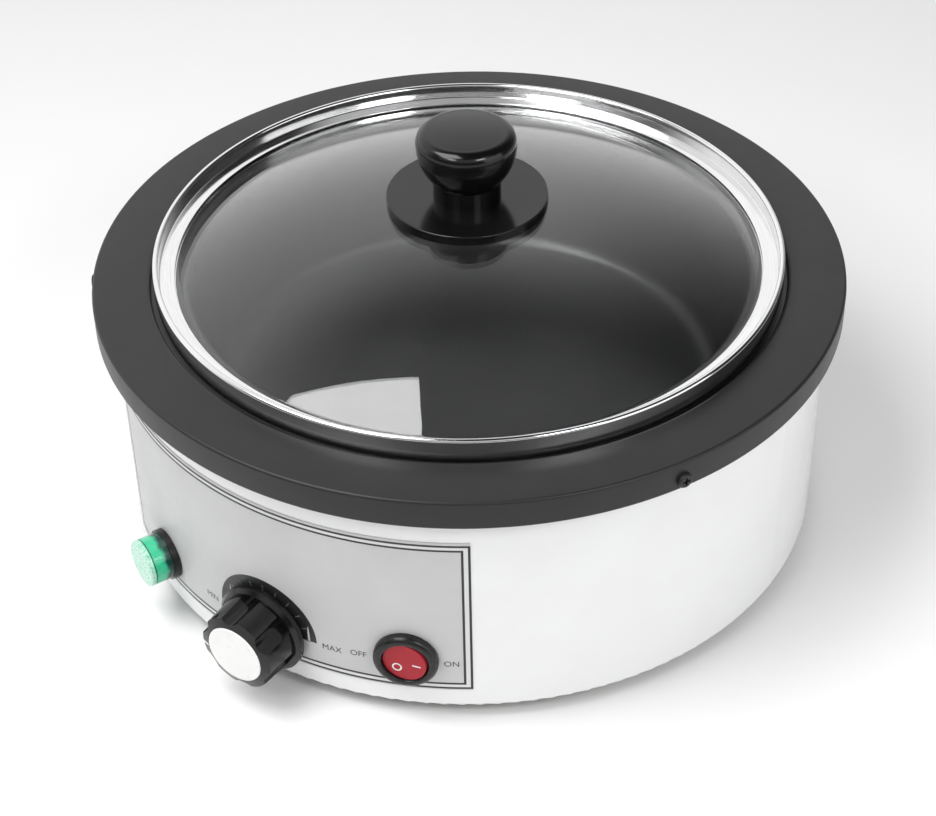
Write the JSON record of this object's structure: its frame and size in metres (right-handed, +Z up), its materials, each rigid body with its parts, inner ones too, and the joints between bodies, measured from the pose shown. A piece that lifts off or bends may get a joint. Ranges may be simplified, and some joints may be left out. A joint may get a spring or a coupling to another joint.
{
  "type": "tissue flotation bath",
  "caption": "Round heated water bath with a lift-off domed glass lid, a temperature dial, a rocker switch, a signal lamp and a rear power inlet.",
  "frame": {"origin": "on the bench under the drum's centre: the drum's axis meets the plane of the feet", "axes": "+Z up along the drum's axis, -Y towards the front with the dial, +X to the right seen from the front"},
  "size_m": [0.292, 0.3067, 0.1694],
  "materials": {
    "white_enamel": "gloss white enamel",
    "black_enamel": "satin black enamel",
    "pan_coating": "smooth black non-stick coating",
    "zinc_steel": "zinc-plated steel",
    "stainless": "polished stainless steel",
    "clear_glass": "clear toughened glass",
    "black_phenolic": "gloss black phenolic",
    "black_plastic": "black moulded plastic",
    "white_plastic": "gloss white plastic",
    "red_plastic": "red moulded plastic",
    "green_lens": "green translucent lens",
    "label_film": "pale grey printed film",
    "rubber": "black rubber",
    "silicone": "red silicone rubber",
    "brass": "nickel-free brass",
    "brass_plated": "nickel-plated brass",
    "wool_pad": "ceramic wool",
    "element_sheath": "heat-tinted steel sheath",
    "copper": "drawn copper",
    "block_plastic": "white steatite",
    "thermostat_case": "pressed aluminium case",
    "led_resin": "pale green resin"
  },
  "bodies": {
    "bath": {"base_plate": "zinc_steel", "base_screws": "zinc_steel", "bath_pan": "pan_coating", "block_screws": "zinc_steel", "capillary_tube": "copper", "collar_ring": "black_enamel", "collar_screws": "black_enamel", "dial_nut": "brass_plated", "drum_housing": "white_enamel", "earth_stud": "brass", "foot_nuts": "zinc_steel", "foot_screws": "zinc_steel", "front_label": "label_film", "heat_shield": "zinc_steel", "heater_bar": "zinc_steel", "heating_element": "element_sheath", "inlet_housing": "black_plastic", "inlet_nuts": "zinc_steel", "inlet_pins": "brass_plated", "inlet_screws": "zinc_steel", "insulation_pad": "wool_pad", "lamp_body": "black_plastic", "lamp_led": "led_resin", "lamp_lens": "green_lens", "lamp_nut": "black_plastic", "pan_seal": "silicone", "pan_stud": "zinc_steel", "rubber_feet": "rubber", "sensor_bulb": "copper", "sensor_clip": "stainless", "stud_nut": "zinc_steel", "switch_body": "black_plastic", "switch_terminals": "brass", "terminal_block": "block_plastic", "thermal_cutout": "thermostat_case", "thermostat_body": "thermostat_case"},
    "lid": {"lid_glass": "clear_glass", "lid_rim": "stainless", "lid_knob": "black_phenolic", "knob_base": "black_phenolic", "lid_screw": "stainless", "lid_washer": "silicone"},
    "dial": {"dial_knob": "black_phenolic", "dial_cap": "white_plastic", "dial_shaft": "brass_plated", "dial_grub_screw": "zinc_steel"},
    "rocker": {"rocker": "red_plastic"}
  },
  "joints": [
    {"name": "lid_lift", "type": "slide", "parent": "bath", "child": "lid", "axis": [0, 0, 1], "range_m": [0, 0.12]},
    {"name": "dial_turn", "type": "hinge", "parent": "bath", "child": "dial", "pos_m": [0, -0.15, 0.0278], "axis": [0, 1, 0], "range_deg": [0, 180]},
    {"name": "rocker_tilt", "type": "hinge", "parent": "bath", "child": "rocker", "pos_m": [0.05616, -0.12977, 0.0303], "axis": [0, 0, 1], "range_deg": [0, 16]}
  ]
}
